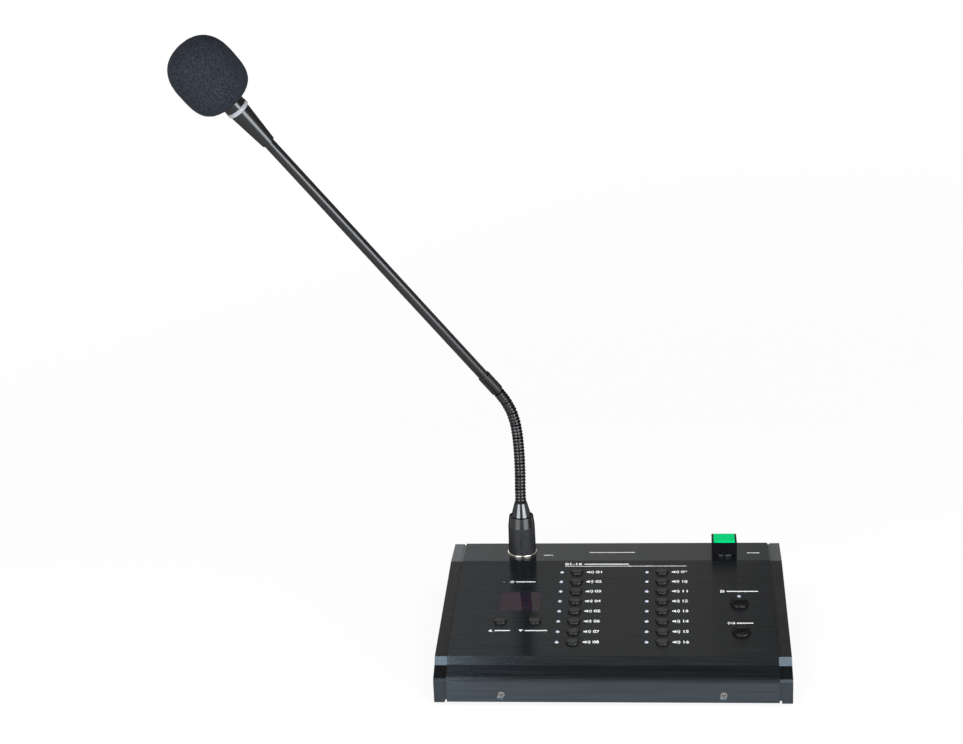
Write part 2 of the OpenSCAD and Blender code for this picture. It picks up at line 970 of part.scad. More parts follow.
// Sleeve between the ribbed neck and the straight tube
module neck_sleeve() {
    foot_rise = sleeve_d * groove_w / neck_d / 2;
    color([0.11, 0.11, 0.12])
        head_at(0)
            rotate_extrude()
                difference() {
                    polygon([
                        [0, 0],
                        [sleeve_d / 2 - sleeve_edge, foot_rise],
                        [sleeve_d / 2, foot_rise + sleeve_edge],
                        [sleeve_d / 2, sleeve_l - sleeve_edge],
                        [sleeve_d / 2 - sleeve_edge, sleeve_l],
                        [0, sleeve_l]
                    ]);
                    circle(d = ball_d + 2 * ball_gap);
                    translate([-sleeve_l, -sleeve_l])
                        square([sleeve_l + neck_bore_d / 2, 3 * sleeve_l]);
                    translate([0, sleeve_l - tube_in])
                        square([tube_d / 2 + fit_gap / 2, sleeve_l]);
                }
}

module neck_tube() {
    color([0.1, 0.1, 0.11])
        head_at(sleeve_l - tube_in)
            difference() {
                cylinder(d = tube_d, h = tube_l + 2 * tube_in);
                translate([0, 0, -cut_past])
                    cylinder(d = tube_d - 2 * tube_wall, h = tube_l + 2 * tube_in + 2 * cut_past);
            }
}

// Long tapered collar below the capsule
module head_collar() {
    color([0.1, 0.1, 0.11])
        head_at(collar_z)
            difference() {
                cylinder(d1 = tube_d + collar_step, d2 = collar_d, h = collar_l);
                translate([0, 0, -cut_past])
                    cylinder(d = tube_d + fit_gap, h = tube_in + cut_past);
                cylinder(d = neck_bore_d, h = 2 * collar_l);
            }
}

// Clear ring that shows when the microphone is live
module light_ring() {
    rim_r = light_ring_d / 2;
    edge = light_ring_t / 4;
    color([0.86, 0.88, 0.9])
        head_at(light_ring_z)
            rotate_extrude()
                difference() {
                    union() {
                        translate([0, edge])
                            square([rim_r, light_ring_t - 2 * edge]);
                        square([rim_r - edge, light_ring_t]);
                        for (h = [edge, light_ring_t - edge])
                            translate([rim_r - edge, h])
                                circle(edge);
                    }
                    square([capsule_spigot_d / 2 + fit_gap, 3 * light_ring_t]);
                }
}

// Capsule housing with sound slots round its top
module capsule() {
    color([0.09, 0.09, 0.1])
        head_at(capsule_z)
            difference() {
                union() {
                    cylinder(d = capsule_d, h = capsule_l);
                    translate([0, 0, -light_ring_t])
                        cylinder(d = capsule_spigot_d, h = light_ring_t);
                }
                translate([0, 0, capsule_l - capsule_wall - capsule_room_l])
                    cylinder(d = capsule_d - 2 * capsule_wall, h = capsule_room_l);
                for (slot = [0 : grille_slots - 1])
                    rotate([0, 0, slot * 360 / grille_slots])
                        translate([0, -grille_slot_w / 2, capsule_l - grille_margin - grille_slot_l])
                            cube([capsule_d, grille_slot_w, grille_slot_l]);
            }
}

// Half outline of the foam, fuller than an ellipse and fullest towards the foot
function foam_outline() = [
    for (step = [0 : foam_steps])
        let (
            turn = -90 + 180 * step / foam_steps,
            power = turn < 0 ? foam_foot_power : foam_tip_power
        )
        [
            foam_d / 2 * pow(abs(cos(turn)), 2 / power),
            foam_l / 2 * (1 + sign(sin(turn)) * pow(abs(sin(turn)), 2 / power))
        ]
];

module windscreen() {
    cavity_l = capsule_z + capsule_l - foam_z + foam_gap;
    color([0.2, 0.22, 0.25])
        head_at(foam_z)
            difference() {
                rotate_extrude()
                    polygon(foam_outline());
                translate([0, 0, -cut_past])
                    cylinder(d = capsule_d + 2 * foam_gap, h = cavity_l + cut_past);
            }
}

top_shell();
left_end_cap();
right_end_cap();
chassis();
rubber_feet();
case_screws();
cap_screws();
main_board();
board_posts();
board_screws();
key_switches();
panel_leds();
digit_display();
display_window();
zone_key(1);  // zone_key_01
zone_key(2);  // zone_key_02
zone_key(3);  // zone_key_03
zone_key(4);  // zone_key_04
zone_key(5);  // zone_key_05
zone_key(6);  // zone_key_06
zone_key(7);  // zone_key_07
zone_key(8);  // zone_key_08
zone_key(9);  // zone_key_09
zone_key(10);  // zone_key_10
zone_key(11);  // zone_key_11
zone_key(12);  // zone_key_12
zone_key(13);  // zone_key_13
zone_key(14);  // zone_key_14
zone_key(15);  // zone_key_15
zone_key(16);  // zone_key_16
page_up_key();
page_down_key();
group_key();
all_call_key();
talk_collar();
talk_bezel();
talk_lens();
talk_switch();
link_sockets();
power_jack();
socket_ring();
socket_body();
plug_barrel();
plug_collar();
neck_ferrule();
neck_link(1);  // neck_link_1
neck_link(2);  // neck_link_2
neck_link(3);  // neck_link_3
neck_link(4);  // neck_link_4
neck_link(5);  // neck_link_5
neck_link(6);  // neck_link_6
neck_link(7);  // neck_link_7
neck_link(8);  // neck_link_8
neck_link(9);  // neck_link_9
neck_sleeve();
neck_tube();
head_collar();
light_ring();
capsule();
windscreen();
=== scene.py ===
import json
import math

import bmesh
import bpy
from mathutils import Matrix, Vector, noise


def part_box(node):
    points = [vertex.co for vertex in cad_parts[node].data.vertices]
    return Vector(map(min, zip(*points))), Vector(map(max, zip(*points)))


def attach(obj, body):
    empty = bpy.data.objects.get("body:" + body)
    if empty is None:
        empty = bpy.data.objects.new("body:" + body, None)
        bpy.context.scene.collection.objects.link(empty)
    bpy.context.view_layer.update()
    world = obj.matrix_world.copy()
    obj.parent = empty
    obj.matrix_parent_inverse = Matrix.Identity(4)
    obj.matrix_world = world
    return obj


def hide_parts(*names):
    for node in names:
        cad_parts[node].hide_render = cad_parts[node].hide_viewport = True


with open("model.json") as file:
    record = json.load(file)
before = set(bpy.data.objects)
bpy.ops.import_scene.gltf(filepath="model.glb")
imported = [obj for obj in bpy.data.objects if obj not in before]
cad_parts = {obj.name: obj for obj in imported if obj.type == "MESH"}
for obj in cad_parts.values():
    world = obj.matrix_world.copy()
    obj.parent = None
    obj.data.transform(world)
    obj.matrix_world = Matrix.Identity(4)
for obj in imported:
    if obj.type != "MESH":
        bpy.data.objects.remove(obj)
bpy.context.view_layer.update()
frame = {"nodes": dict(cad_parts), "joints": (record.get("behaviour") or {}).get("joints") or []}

MM = 0.001


def mm(*values):
    return Vector(values) * MM


# Camera, fitted to the photograph's perspective: millimetres, pixels and degrees

IMAGE_W = 963
FOCAL_PX = 1950
SENSOR_MM = 36
CAMERA_PLACE = Vector((38.1, -1230.7, 595.55))
CAMERA_YAW = -5.694
CAMERA_TILT = 17.514
CAMERA_ROLL = 2.385


def make_camera():
    yaw = math.radians(CAMERA_YAW)
    tilt = math.radians(CAMERA_TILT)
    roll = math.radians(CAMERA_ROLL)
    forward = Vector((math.sin(yaw) * math.cos(tilt), math.cos(yaw) * math.cos(tilt), -math.sin(tilt)))
    level = Vector((math.cos(yaw), -math.sin(yaw), 0))
    down = forward.cross(level)
    right = level * math.cos(roll) + down * math.sin(roll)
    up = level * math.sin(roll) - down * math.cos(roll)
    data = bpy.data.cameras.new("camera")
    data.sensor_width = SENSOR_MM
    data.lens = FOCAL_PX * SENSOR_MM / IMAGE_W
    camera = bpy.data.objects.new("camera", data)
    turn = Matrix((right, up, -forward)).transposed().to_4x4()
    camera.matrix_world = Matrix.Translation(CAMERA_PLACE * MM) @ turn
    bpy.context.scene.collection.objects.link(camera)
    bpy.context.scene.camera = camera


# Nodes of a material

def add(tree, kind, inputs=None, **settings):
    """A shader node, with its inputs set to values or joined to other nodes' outputs."""
    made = tree.nodes.new("ShaderNode" + kind)
    for name, value in settings.items():
        setattr(made, name, value)
    for name, value in (inputs or {}).items():
        if isinstance(value, bpy.types.NodeSocket):
            tree.links.new(value, made.inputs[name])
        else:
            made.inputs[name].default_value = value
    return made


def grain(tree, scale, stretch=(1, 1, 1), detail=4):
    """Noise in the object's own metres, drawn out along the axes with a small stretch."""
    place = add(tree, "TexCoord").outputs["Object"]
    drawn = add(tree, "Mapping", {"Vector": place, "Scale": stretch}).outputs["Vector"]
    return add(tree, "TexNoise", {"Vector": drawn, "Scale": scale, "Detail": detail}).outputs["Fac"]


def between(tree, value, low, high, start=0.0, end=1.0):
    """Number that runs from low to high while the value runs from start to end."""
    inputs = {"Value": value, "From Min": start, "From Max": end, "To Min": low, "To Max": high}
    return add(tree, "MapRange", inputs).outputs["Result"]


def worked(tree, operation, first, second):
    """Result of one operation on two numbers."""
    return add(tree, "Math", {0: first, 1: second}, operation=operation).outputs[0]


def mixed(tree, factor, first, second, blend="MIX"):
    inputs = {"Factor": factor, "A": first, "B": second}
    return add(tree, "Mix", inputs, data_type="RGBA", blend_type=blend).outputs["Result"]


def grey(value, blue=1.0):
    return (value, value, value * blue)


def ramp(tree, value, stops):
    """Colour that runs through (position, colour) stops."""
    made = add(tree, "ValToRGB", {"Fac": value})
    elements = made.color_ramp.elements
    while len(elements) < len(stops):
        elements.new(1)
    for element, (position, colour) in zip(elements, stops):
        element.position = position
        element.color = (*colour, 1)
    return made.outputs["Color"]


def grey_ramp(tree, value, levels):
    return ramp(tree, value, [(position, grey(level)) for position, level in levels])


def relief(tree, height, depth_mm):
    return add(tree, "Bump", {"Height": height, "Distance": depth_mm * MM}).outputs["Normal"]


# Kinds of material

def shader_of(material):
    return material.node_tree.nodes["Principled BSDF"]


def surface(name, dark, light, rough, scale, depth_mm, stretch=(1, 1, 1), rough_spread=0.06, inputs=None):
    """Principled material whose colour, roughness and relief follow one grain."""
    material = bpy.data.materials.new(name)
    material.use_nodes = True
    tree = material.node_tree
    fac = grain(tree, scale, stretch)
    shader = shader_of(material)
    tree.links.new(ramp(tree, fac, ((0.3, dark), (0.7, light))), shader.inputs["Base Color"])
    spread = between(tree, fac, rough - rough_spread, rough + rough_spread)
    tree.links.new(spread, shader.inputs["Roughness"])
    tree.links.new(relief(tree, fac, depth_mm), shader.inputs["Normal"])
    for key, value in (inputs or {}).items():
        shader.inputs[key].default_value = value
    return material


def draw_out(material, along):
    """Highlights drawn out along a direction of the piece, across its fine turning or brushing lines."""
    tree = material.node_tree
    fixed = add(tree, "CombineXYZ", dict(zip("XYZ", along))).outputs["Vector"]
    turned = add(tree, "VectorTransform", {"Vector": fixed}, convert_from="OBJECT", convert_to="WORLD")
    tree.links.new(turned.outputs["Vector"], shader_of(material).inputs["Tangent"])


def painted_rim_shade(material, level, start=0.15, end=0.65):
    """Painted shade: reflection turned down where the face turns from the eye, standing in for dark
    surroundings there.
    """
    tree = material.node_tree
    facing = add(tree, "LayerWeight", {"Blend": 0.5}).outputs["Facing"]
    share = between(tree, facing, 1, 0, start, end)
    fade = worked(tree, "MULTIPLY", share, level)
    tree.links.new(fade, shader_of(material).inputs["Specular IOR Level"])


BRUSH_ACROSS = 700
BRUSH_ALONG = 20
# Painted light: the brushed metal's reflections are tinted blue, standing in for cool light from the front.
PAINTED_COOL_TINT = (0.68, 0.85, 1, 1)


def brushed(name, rough, level, lines, along):
    """Black brushed metal with fine lines along one axis, some brighter than others; painted shade turns
    its reflection down at low angles.
    """
    stretch = [BRUSH_ACROSS] * 3
    stretch[lines] = BRUSH_ALONG
    inputs = {"Anisotropic": 1, "Specular Tint": PAINTED_COOL_TINT}
    material = surface(name, grey(0.001, 1.1), grey(0.005, 1.1), rough, 1, 0.004, stretch, 0.03, inputs)
    draw_out(material, along)
    tree = material.node_tree
    bright = between(tree, grain(tree, 1, stretch, 2), 0.8 * level, 1.2 * level)
    painted_rim_shade(material, bright, 0.63, 0.71)
    return material


LACQUER = (grey(0.003, 1.2), grey(0.005, 1.2))


def gloss(name, rough, level):
    """Black lacquer, its reflection turned down at the rims as painted shade."""
    material = surface(name, *LACQUER, rough, 500, 0.0003, rough_spread=0.02)
    painted_rim_shade(material, level)
    return material


def tinted(name, dark, light):
    """Smooth, dark window plastic."""
    inputs = {"Specular IOR Level": 0.75}
    return surface(name, dark, light, 0.05, 80, 0.0005, rough_spread=0.02, inputs=inputs)


def dress(material, *names):
    for name in names:
        for slot in frame["nodes"][name].material_slots:
            slot.material = material


# Mesh helpers

def link(name, made, material, body):
    """Piece made from a bmesh, in one material, that rides on a body."""
    mesh = bpy.data.meshes.new(name)
    bmesh.ops.recalc_face_normals(made, faces=made.faces)
    made.to_mesh(mesh)
    made.free()
    mesh.materials.append(material)
    piece = bpy.data.objects.new(name, mesh)
    bpy.context.scene.collection.objects.link(piece)
    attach(piece, body)
    return piece


def round_points(x, y, radius, angles):
    return [(x + radius * math.cos(angle), y + radius * math.sin(angle)) for angle in angles]


def revolve(profile, turn, segments=64):
    """Bmesh of a profile of (radius, height) points in millimetres, turned about the frame's Z axis."""
    made = bmesh.new()
    angles = [2 * math.pi * step / segments for step in range(segments)]
    rings = []
    for radius, height in profile:
        points = round_points(0, 0, radius, angles) if radius else [(0, 0)]
        rings.append([made.verts.new(turn @ mm(x, y, height)) for x, y in points])
    for low, high in zip(rings, rings[1:]):
        for step in range(segments):
            after = (step + 1) % segments
            lower = [low[step % len(low)], low[after % len(low)]]
            upper = [high[after % len(high)], high[step % len(high)]]
            face = made.faces.new(list(dict.fromkeys(lower + upper)))
            face.smooth = True
    return made


def frame_along(start, direction):
    """Matrix whose Z axis runs along a direction from a start point, in metres."""
    return Matrix.Translation(start) @ direction.to_track_quat("Z", "Y").to_matrix().to_4x4()


def centre(node):
    low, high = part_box(node)
    return (Vector(low) + Vector(high)) / 2


# Studio, in metres

# Colours by height, grey levels by side at two heights, and strength in front by height
SKY_RISE = (
    (0.1, grey(1.12)),
    (0.2, grey(1.02)),
    (0.35, (1, 0.95, 0.9)),
    (0.62, (0.5, 0.42, 0.36)),
    (0.85, grey(0.05)),
)
SKY_SIDE_REACH = 0.2
SKY_SIDES = (
    (0.05, 0.2, ((0.25, 1.12), (0.45, 0.78), (0.55, 0.74), (0.65, 0.46))),
    (0.4, 0.55, ((0.25, 0.9), (0.42, 1.4), (0.55, 1.4), (0.63, 0.5))),
)
SKY_FRONT = ((0.06, 1), (0.16, 0.45), (0.3, 0.45), (0.6, 1.25))
SKY_BACK = 0.9
SKY_BACK_FROM = 0.6


def make_world():
    """White near the horizon, dimmer higher up, to the right and in front."""
    world = bpy.data.worlds.new("studio")
    world.use_nodes = True
    tree = world.node_tree
    place = add(tree, "TexCoord").outputs["Generated"]
    direction = add(tree, "SeparateXYZ", {"Vector": place}).outputs
    height = direction["Z"]
    side = between(tree, direction["X"], 0, 1, -SKY_SIDE_REACH, SKY_SIDE_REACH)
    shade = (1, 1, 1, 1)
    for start, end, levels in SKY_SIDES:
        above = between(tree, height, 0, 1, start, end)
        shade = mixed(tree, above, shade, grey_ramp(tree, side, levels))
    tone = mixed(tree, 1, ramp(tree, height, SKY_RISE), shade, "MULTIPLY")
    front = grey_ramp(tree, height, SKY_FRONT)
    strength = between(tree, direction["Y"], front, SKY_BACK, 0, SKY_BACK_FROM)
    shader = tree.nodes["Background"]
    tree.links.new(tone, shader.inputs["Color"])
    tree.links.new(strength, shader.inputs["Strength"])
    bpy.context.scene.world = world


LAMP_COLOUR = (0.91, 0.96, 1)
LAMP_AIM = (-0.05, 0.05, 0.25)
WIDE_BOX = (1.2, 0.4)
SIDE_BOX = (0.6, 0.3)
BACK_BOX = (0.9, 0.3)
TOP_BOX = (0.9, 0.6)


def make_softbox(name, place, size, radiance, target=LAMP_AIM):
    """Rectangular lamp of a given radiance that faces its target."""
    data = bpy.data.lights.new(name, "AREA")
    data.shape = "RECTANGLE"
    data.size, data.size_y = size
    data.energy = radiance * math.pi * size[0] * size[1]
    data.color = LAMP_COLOUR
    lamp = bpy.data.objects.new(name, data)
    place = Vector(place)
    turn = (Vector(target) - place).to_track_quat("-Z", "Y").to_matrix().to_4x4()
    lamp.matrix_world = Matrix.Translation(place) @ turn
    bpy.context.scene.collection.objects.link(lamp)


def make_lamps():
    make_softbox("left_softbox", (-0.9, -1.42, 0.25), WIDE_BOX, 13)
    make_softbox("right_softbox", (1.02, -1.25, 0.25), WIDE_BOX, 7.2)
    make_softbox("side_softbox", (0.56, -0.5, 0.17), SIDE_BOX, 9)
    make_softbox("back_softbox", (-1.1, 1.4, 0.2), BACK_BOX, 5)
    for name, x in (("top_left_softbox", -0.81), ("top_right_softbox", 0.85)):
        make_softbox(name, (x, -1.15, 1.9), TOP_BOX, 12, (0, 0, 0))


FLOOR_HALF = 60
FLOOR_NEAR = 0.5
FLOOR_FAR = 3
FLOOR_NEAR_LEVEL = 0.88
FLOOR_FAR_LEVEL = 1
FLOOR_BOUNCE = 0.8
FLOOR_GREY = (0.12, 0.12, 0.12, 1)


def floor_material():
    """Shows as white, lights the object from below and keeps its shadow."""
    material = bpy.data.materials.new("floor")
    material.use_nodes = True
    tree = material.node_tree
    tree.nodes.remove(tree.nodes["Principled BSDF"])
    path = add(tree, "LightPath").outputs
    seen = worked(tree, "MAXIMUM", path["Is Camera Ray"], path["Is Glossy Ray"])
    seen = worked(tree, "MAXIMUM", seen, path["Is Transmission Ray"])
    place = add(tree, "TexCoord").outputs["Object"]
    away = add(tree, "VectorMath", {0: place}, operation="LENGTH").outputs["Value"]
    level = between(tree, away, FLOOR_NEAR_LEVEL, FLOOR_FAR_LEVEL, FLOOR_NEAR, FLOOR_FAR)
    glow = add(tree, "Emission", {"Strength": between(tree, seen, FLOOR_BOUNCE, level)})
    matte = add(tree, "BsdfDiffuse", {"Color": FLOOR_GREY})
    both = add(tree, "AddShader", {0: glow.outputs[0], 1: matte.outputs[0]})
    tree.links.new(both.outputs[0], tree.nodes["Material Output"].inputs["Surface"])
    return material


def make_floor():
    half = FLOOR_HALF
    mesh = bpy.data.meshes.new("floor")
    corners = [(-half, -half, 0), (half, -half, 0), (half, half, 0), (-half, half, 0)]
    mesh.from_pydata(corners, [], [(0, 1, 2, 3)])
    mesh.materials.append(floor_material())
    floor = bpy.data.objects.new("floor", mesh)
    bpy.context.scene.collection.objects.link(floor)


# Neck, in millimetres and degrees

LINKS = 9
LINK_RIBS = 4
RIB_PITCH = 2.43
LINK_L = LINK_RIBS * RIB_PITCH
NECK_R = 4
GROOVE_R = 3.15
GROOVE_FLOOR_R = 2.4
RIB_W = 1.34
# Depth below the neck's radius and rise along a rib, from its foot to its top
RIB_OUTLINE = ((0.45, 0), (0.12, 0.1), (0, 0.25), (0.04, 0.38), (0.17, 0.96), (0.24, 1.14), (0.5, 1.34))
BALL_R = 2.5
SEAT_R = 2.62
ROUND_STEP = 14
SEAT_STEPS = 5
BALL_STEPS = 7
BALL_START = -8
END_LEAN = 0.19


def neck_joints():
    return [joint for joint in frame["joints"] if joint["name"].startswith("neck_")]


def neck_points():
    """Foot of the neck, then each neck joint, in metres."""
    foot = centre("neck_ferrule")
    foot.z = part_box("neck_ferrule")[1][2]
    return [foot] + [Vector(joint["pos_m"]) for joint in neck_joints()]


def seat_profile():
    """Seat for the ball of the link below, from its middle out to the lip."""
    profile = [(0, SEAT_R)]
    for step in range(1, SEAT_STEPS + 1):
        angle = math.radians(90 - ROUND_STEP * step)
        profile.append((SEAT_R * math.cos(angle), SEAT_R * math.sin(angle)))
    return profile + [(GROOVE_R, GROOVE_R * END_LEAN)]


def ball_profile():
    profile = [(GROOVE_R, LINK_L - GROOVE_R * END_LEAN)]
    for step in range(BALL_STEPS):
        angle = math.radians(BALL_START + ROUND_STEP * step)
        profile.append((BALL_R * math.cos(angle), LINK_L + BALL_R * math.sin(angle)))
    return profile + [(0, LINK_L + BALL_R)]


def link_profile(first):
    """Ribs that slope inwards between a ball seat and a ball; the first link stands flat."""
    profile = [(0, 0), (GROOVE_R, 0)] if first else seat_profile()
    for rib in range(LINK_RIBS):
        start = (rib + 0.5) * RIB_PITCH - RIB_W / 2
        profile += [(NECK_R - depth, start + rise) for depth, rise in RIB_OUTLINE]
        if rib < LINK_RIBS - 1:
            profile.append((GROOVE_FLOOR_R, (rib + 1) * RIB_PITCH))
    return profile + ball_profile()


def make_neck(material):
    points = neck_points()
    bodies = ["console"] + [joint["child"] for joint in neck_joints()]
    for number in range(1, LINKS + 1):
        start = points[number - 1]
        turn = frame_along(start, points[number] - start)
        made = revolve(link_profile(number == 1), turn)
        piece = link(f"gooseneck_{number}", made, material, bodies[number - 1])
        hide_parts(f"neck_link_{number}")


# Foam windscreen, in millimetres

FOAM_D = 43.4
FOAM_L = 47.2
FOAM_FOOT_POWER = 3.4
FOAM_TIP_POWER = 2.5
FOAM_FOOT_SHARE = 0.012
FOAM_LEAN = 0.35
FOAM_HOLE_R = 7.45
FOAM_LIP_W = 0.9
# Distance out from the hole and height, from inside the hole to the lip
FOAM_LIP = ((0, 7), (0, 4), (0, 2.4), (0.15, 1.5), (0.6, 0.95))
FOAM_RINGS = 150
FOAM_SEGMENTS = 240
# Cells per metre and their depth
FOAM_CELLS = ((1500, 0.12), (420, 0.1))


def foam_profile():
    """From inside the opening, round its lip and over the foam to the top."""
    half_l = FOAM_L / 2
    first = math.asin(1 - 2 * FOAM_FOOT_SHARE)
    profile = [(FOAM_HOLE_R + out, height) for out, height in FOAM_LIP]
    for step in range(FOAM_RINGS):
        angle = -first + (math.pi / 2 + first) * step / FOAM_RINGS
        power = FOAM_FOOT_POWER if angle < 0 else FOAM_TIP_POWER
        radius = FOAM_D / 2 * math.cos(angle) ** (2 / power)
        rise = math.copysign(abs(math.sin(angle)) ** (2 / power), angle)
        if radius > FOAM_HOLE_R + FOAM_LIP_W or angle > 0:
            profile.append((radius, half_l * (1 + rise)))
    return profile + [(0, FOAM_L)]


def make_foam(material):
    """Foam ball with open cells that leans a little to the right on its capsule."""
    axis = (centre("light_ring") - neck_points()[-1]).normalized()
    start = centre("windscreen") - axis * (FOAM_L / 2 * MM)
    made = revolve(foam_profile(), frame_along(start, axis), FOAM_SEGMENTS)
    made.normal_update()
    for vertex in made.verts:
        depth = sum(depth * noise.noise(vertex.co * scale) for scale, depth in FOAM_CELLS)
        vertex.co += vertex.normal * (depth * MM)
        up = max(0, min(1, (vertex.co - start).dot(axis) / (FOAM_L * MM)))
        vertex.co.x += FOAM_LEAN * MM * math.sin(up * math.pi / 2)
    foam = link("foam_windscreen", made, material, "microphone_head")
    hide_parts("windscreen")


# Places on the console, in millimetres and degrees

BEVEL_RUN = 14.9
PANEL_RISE = 29.6
PANEL_SLOPE = 9.4
FIRST_ROW = 16
ROW_PITCH = 12.15
ROWS = 8
COLUMNS = (-26.4, 33.1)
POWER_LAMP_X = -70


def panel_frame():
    """Frame on the sloped key panel, from the middle of its front edge."""
    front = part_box("top_shell")[0][1]
    edge = Vector((0, front, 0)) + mm(0, BEVEL_RUN, PANEL_RISE)
    return Matrix.Translation(edge) @ Matrix.Rotation(math.radians(PANEL_SLOPE), 4, "X")


def strip_frame():
    """Frame on the level rear strip, measured from the console's front."""
    low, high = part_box("top_shell")
    return Matrix.Translation((0, low[1], high[2]))


def row_y(row):
    return FIRST_ROW + (ROWS - 1 - row) * ROW_PITCH


# Flat signs, in millimetres

INK_HALF_T = 0.03
INK_BOLD = 0.12
FONT_HEIGHT_SHARE = 0.72
ARC_STEPS = 16
DISC_STEPS = 24
SPEAKER_BACK = (1, 1.4)
SPEAKER_MOUTH = (2.5, 3.2)
WAVE_X = 2.4
WAVE_RADII = (1.2, 2.4)
WAVE_W = 0.6
WAVE_HALF_ANGLE = 50
ARROW_W = 3
ARROW_H = 2.5


class Ink:
    """Collects flat signs as thin closed prisms."""

    def __init__(self, turn):
        self.made = bmesh.new()
        self.turn = turn

    def shape(self, points):
        low = [self.made.verts.new(self.turn @ mm(x, y, -INK_HALF_T)) for x, y in points]
        high = [self.made.verts.new(self.turn @ mm(x, y, INK_HALF_T)) for x, y in points]
        self.made.faces.new(high)
        self.made.faces.new(list(reversed(low)))
        for here in range(len(points)):
            after = (here + 1) % len(points)
            self.made.faces.new((low[here], low[after], high[after], high[here]))

    def bar(self, x0, x1, y, height):
        low = y - height / 2
        high = y + height / 2
        self.shape([(x0, low), (x1, low), (x1, high), (x0, high)])

    def arc(self, x, y, radius, width, first, last):
        sweep = last - first
        angles = [math.radians(first + sweep * step / ARC_STEPS) for step in range(ARC_STEPS + 1)]
        outer = round_points(x, y, radius + width / 2, angles)
        inner = round_points(x, y, radius - width / 2, angles)
        self.shape(outer + inner[::-1])

    def disc(self, x, y, radius):
        angles = [2 * math.pi * step / DISC_STEPS for step in range(DISC_STEPS)]
        self.shape(round_points(x, y, radius, angles))

    def number(self, text, x, y, height, width):
        curve = bpy.data.curves.new("number", "FONT")
        curve.body = text
        curve.align_y = "CENTER"
        curve.size = height / FONT_HEIGHT_SHARE
        curve.extrude = INK_HALF_T
        curve.offset = INK_BOLD
        holder = bpy.data.objects.new("number", curve)
        bpy.context.scene.collection.objects.link(holder)
        seen = holder.evaluated_get(bpy.context.evaluated_depsgraph_get())
        mesh = bpy.data.meshes.new_from_object(seen)
        wide = width / max(vertex.co.x for vertex in mesh.vertices)
        size = Matrix.Diagonal((wide * MM, MM, MM, 1))
        mesh.transform(self.turn @ Matrix.Translation(mm(x, y, 0)) @ size)
        self.made.from_mesh(mesh)
        bpy.data.objects.remove(holder)
        bpy.data.curves.remove(curve)
        bpy.data.meshes.remove(mesh)

    def speaker(self, x, y):
        back_w, back_h = SPEAKER_BACK
        mouth_x, mouth_h = SPEAKER_MOUTH
        lower = [(x + back_w, y - back_h / 2), (x + mouth_x, y - mouth_h / 2)]
        upper = [(x + mouth_x, y + mouth_h / 2), (x + back_w, y + back_h / 2)]
        self.bar(x, x + back_w, y, back_h)
        self.shape(lower + upper)
        for radius in WAVE_RADII:
            self.arc(x + WAVE_X, y, radius, WAVE_W, -WAVE_HALF_ANGLE, WAVE_HALF_ANGLE)

    def arrow(self, x, y, way):
        """Triangle that points up where the way is 1, down where it is -1."""
        base = y - way * ARROW_H / 2
        tip = y + way * ARROW_H / 2
        self.shape([(x - way * ARROW_W / 2, base), (x + way * ARROW_W / 2, base), (x, tip)])


# Printed signs: bars hold (left, right, y), and places hold (x, y)

BAR_H = 1.1
PANEL_BARS = (
    (-21.5, 10, 111.3),
    (-79.4, -69, 29.2),
    (-59.1, -44, 29.2),
    (-68.6, -55, 88.7),
    (77.2, 98.5, 76.5),
    (82.8, 93.6, 38.1),
)
STRIP_BARS = ((-18.4, 14, 144), (-51.2, -44.5, 139.3), (93.4, 101.9, 142.7))
NUMBER_H = 2.9
ZONE_NUMBER_W = 4.4
ZONE_NUMBER_SHIFT = 13.2
SPEAKER_SHIFT = 6.8
HEADING_RULE = (-35.1, 50.3, 108.7)
HEADING_RULE_H = 0.6
HEADING_PLACE = (-35.1, 111.3)
HEADING_W = 12
PAGE_UP_PLACE = (-82.1, 29.35)
PAGE_DOWN_PLACE = (-61.8, 29.15)
POWER_PLACE = (-71.2, 88.7)
POWER_R = 1.15
POWER_TICK_RISE = 0.9
POWER_TICK_H = 1.4
GROUP_PLACE = (72.9, 75.8)
GROUP_SQUARE = 1.2
GROUP_PITCH = 1.6
ALL_CALL_PLACE = (79.2, 38.1)
ALL_CALL_DOT_R = 0.6
ALL_CALL_RADII = (1.3, 2.2)
LINE_W = 0.5


def print_zones(ink):
    for column, x in enumerate(COLUMNS):
        for row in range(ROWS):
            number = f"{column * ROWS + row + 1:02d}"
            ink.speaker(x + SPEAKER_SHIFT, row_y(row))
            ink.number(number, x + ZONE_NUMBER_SHIFT, row_y(row), NUMBER_H, ZONE_NUMBER_W)


def print_heading(ink):
    ink.bar(*HEADING_RULE, HEADING_RULE_H)
    ink.number("01-16", *HEADING_PLACE, NUMBER_H, HEADING_W)


def print_power_sign(ink):
    x, y = POWER_PLACE
    ink.arc(x, y, POWER_R, LINE_W, 120, 420)
    ink.bar(x - LINE_W / 2, x + LINE_W / 2, y + POWER_TICK_RISE, POWER_TICK_H)


def print_group_sign(ink):
    for column in range(2):
        for row in range(2):
            x = GROUP_PLACE[0] + column * GROUP_PITCH
            y = GROUP_PLACE[1] + row * GROUP_PITCH
            ink.bar(x, x + GROUP_SQUARE, y, GROUP_SQUARE)


def print_all_call_sign(ink):
    ink.disc(*ALL_CALL_PLACE, ALL_CALL_DOT_R)
    for radius in ALL_CALL_RADII:
        for first in (-45, 135):
            ink.arc(*ALL_CALL_PLACE, radius, LINE_W, first, first + 90)


def make_print(material):
    ink = Ink(panel_frame())
    print_zones(ink)
    print_heading(ink)
    ink.arrow(*PAGE_UP_PLACE, 1)
    ink.arrow(*PAGE_DOWN_PLACE, -1)
    print_power_sign(ink)
    print_group_sign(ink)
    print_all_call_sign(ink)
    for bar in PANEL_BARS:
        ink.bar(*bar, BAR_H)
    ink.turn = strip_frame()
    for bar in STRIP_BARS:
        ink.bar(*bar, BAR_H)
    signs = link("panel_print", ink.made, material, "console")


# Two unlit digits that show faintly through the display window

WINDOW_SINK = 0.2
DIGIT_W = 7.5
DIGIT_H = 13
DIGIT_PITCH = 11
DIGIT_SHIFT = (-1.4, -1.6)
SEGMENT_W = 1.3


